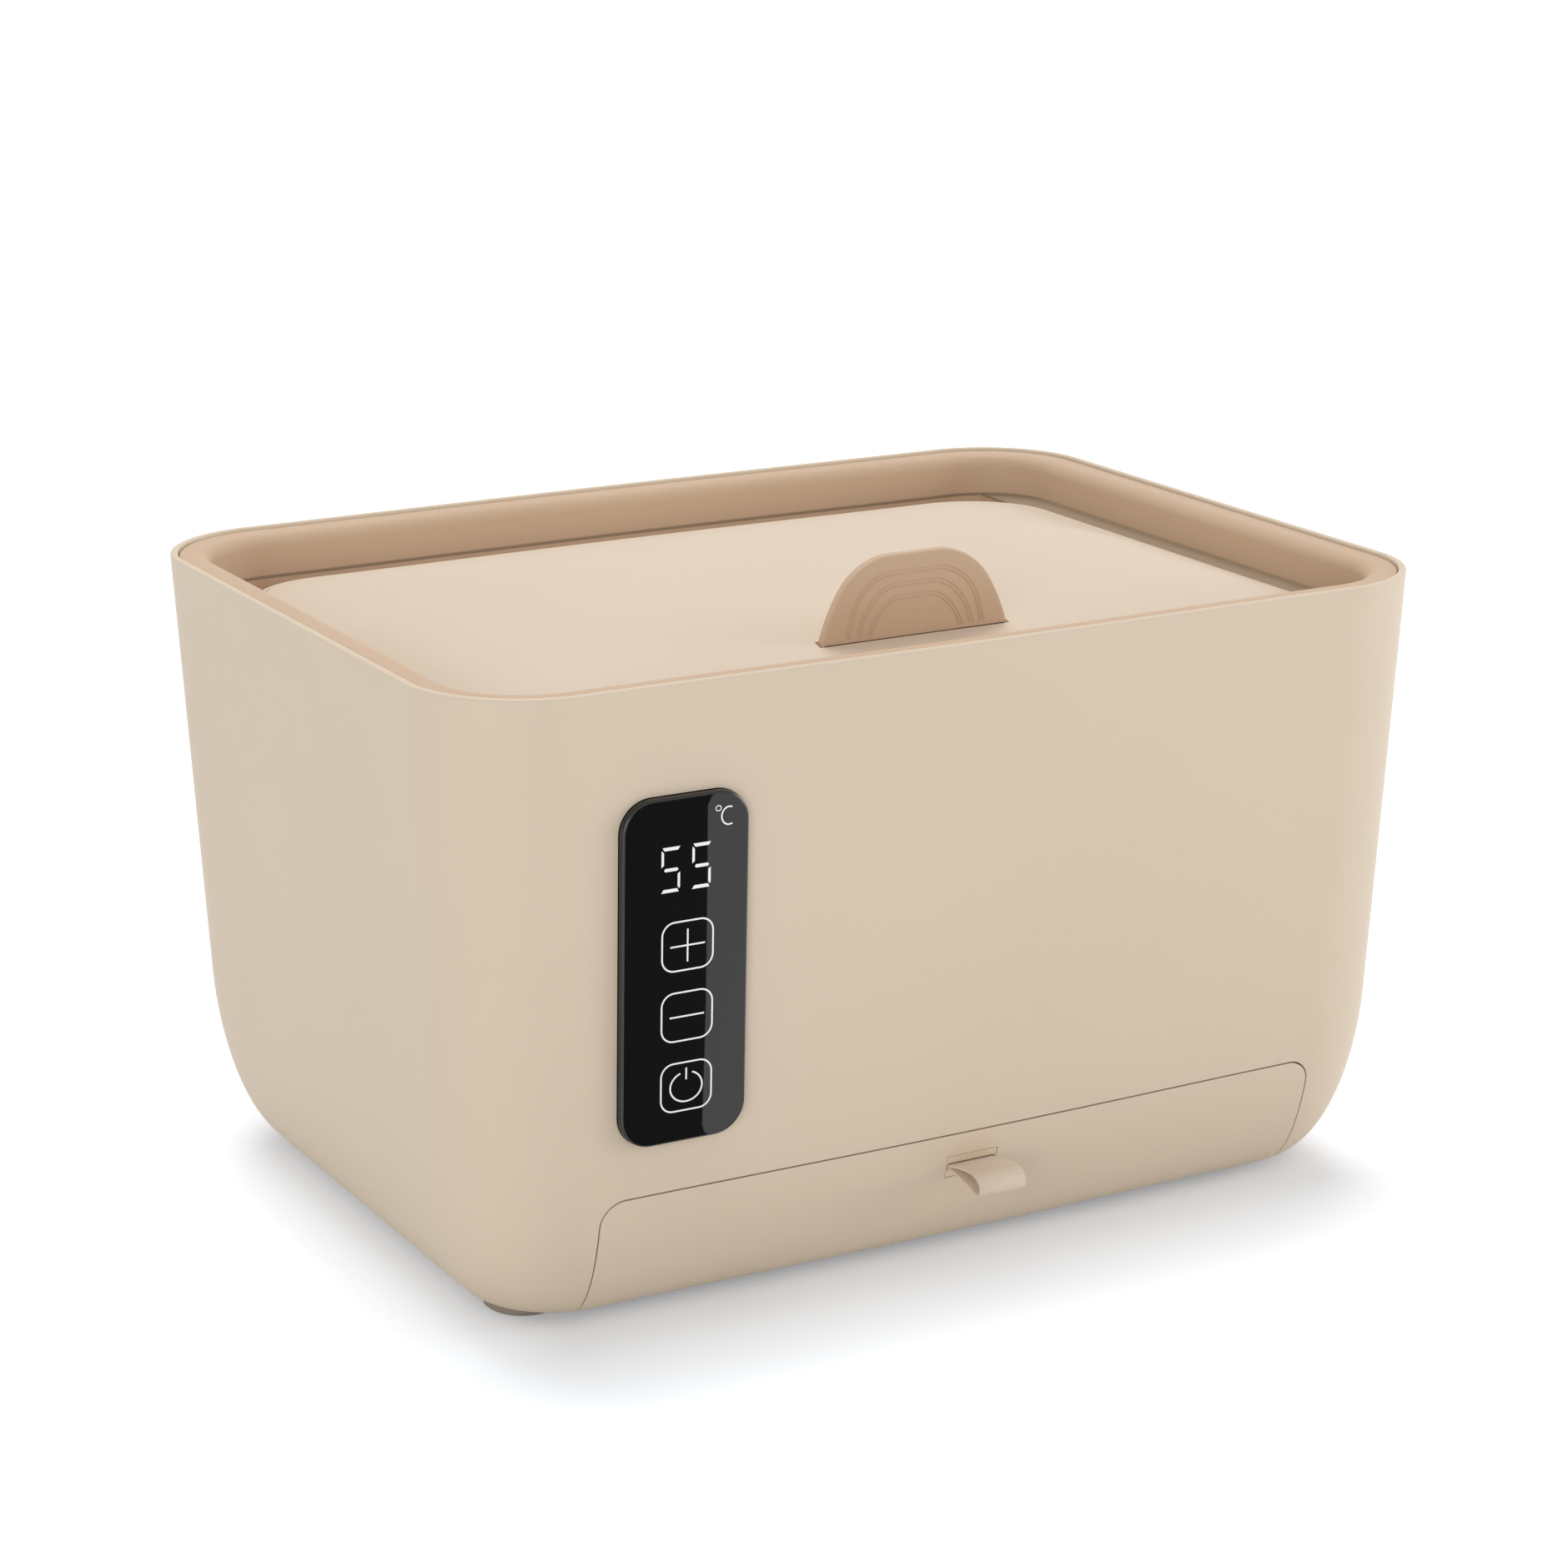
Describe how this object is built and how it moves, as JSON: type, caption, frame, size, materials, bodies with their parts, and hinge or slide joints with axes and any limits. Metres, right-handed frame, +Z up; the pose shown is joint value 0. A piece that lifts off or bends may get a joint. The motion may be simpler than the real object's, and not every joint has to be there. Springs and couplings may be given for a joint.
{
  "type": "baby wipe warmer",
  "caption": "Tapered wipe warmer with a crowned lid hinged below its rim, a heated tub, a touch panel and a shallow drawer in its base.",
  "frame": {"origin": "on the ground under the middle of the whole object, its pull loop included", "axes": "+Z up, +X along the width to the viewer's right, the front with the touch panel and the drawer faces -Y"},
  "size_m": [0.225, 0.1756, 0.1436],
  "materials": {
    "shell_plastic": "satin beige moulding",
    "lid_plastic": "satin light beige moulding",
    "liner_plastic": "satin tan moulding",
    "tub_plastic": "satin off-white moulding",
    "inner_plastic": "plain pale moulding",
    "silicone": "matt silicone",
    "feet_rubber": "matt rubber",
    "panel_glass": "polished black",
    "foam_tape": "matt foam",
    "diffuser": "milky",
    "circuit_board": "solder mask",
    "dark_plastic": "satin",
    "plate_metal": "rolled sheet",
    "bracket_metal": "galvanised sheet",
    "film": "amber film",
    "pad_foam": "felted foam",
    "sensor": "glazed",
    "cable_sheath": "cable sheath",
    "screw_steel": "zinc plated",
    "glide_plastic": "slick tape",
    "ribbon_fabric": "woven ribbon"
  },
  "bodies": {
    "housing": {"outer_shell": "shell_plastic", "feet": "feet_rubber", "rim_liner": "liner_plastic", "wipe_tub": "tub_plastic", "drawer_sleeve": "inner_plastic", "touch_glass": "panel_glass", "panel_tape": "foam_tape", "light_guide": "diffuser", "touch_board": "circuit_board", "panel_clip": "dark_plastic", "control_board": "circuit_board", "board_parts": "dark_plastic", "power_socket": "dark_plastic", "heater_plate": "plate_metal", "heater_film": "film", "insulation_pad": "pad_foam", "heater_retainer": "bracket_metal", "temperature_sensor": "sensor", "thermal_fuse": "sensor", "panel_ribbon": "cable_sheath", "power_leads": "cable_sheath", "heater_leads": "cable_sheath", "base_screws": "screw_steel", "flange_screws": "screw_steel", "retainer_screws": "screw_steel", "clip_screws": "screw_steel", "board_screws": "screw_steel", "hinge_pins": "screw_steel"},
    "lid": {"lid_frame": "lid_plastic", "lid_cover": "lid_plastic", "lid_gasket": "silicone", "pull_tab": "silicone", "lid_screws": "screw_steel"},
    "drawer": {"drawer_front": "shell_plastic", "drawer_tray": "inner_plastic", "glide_strips": "glide_plastic", "drawer_screws": "screw_steel", "pull_insert": "shell_plastic", "pull_ribbon": "ribbon_fabric"}
  },
  "joints": [
    {"name": "lid_hinge", "type": "hinge", "parent": "housing", "child": "lid", "pos_m": [0, 0.07003, 0.1196], "axis": [-1, 0, 0], "range_deg": [0, 100]},
    {"name": "drawer_slide", "type": "slide", "parent": "housing", "child": "drawer", "axis": [0, -1, 0], "range_m": [0, 0.085]}
  ]
}
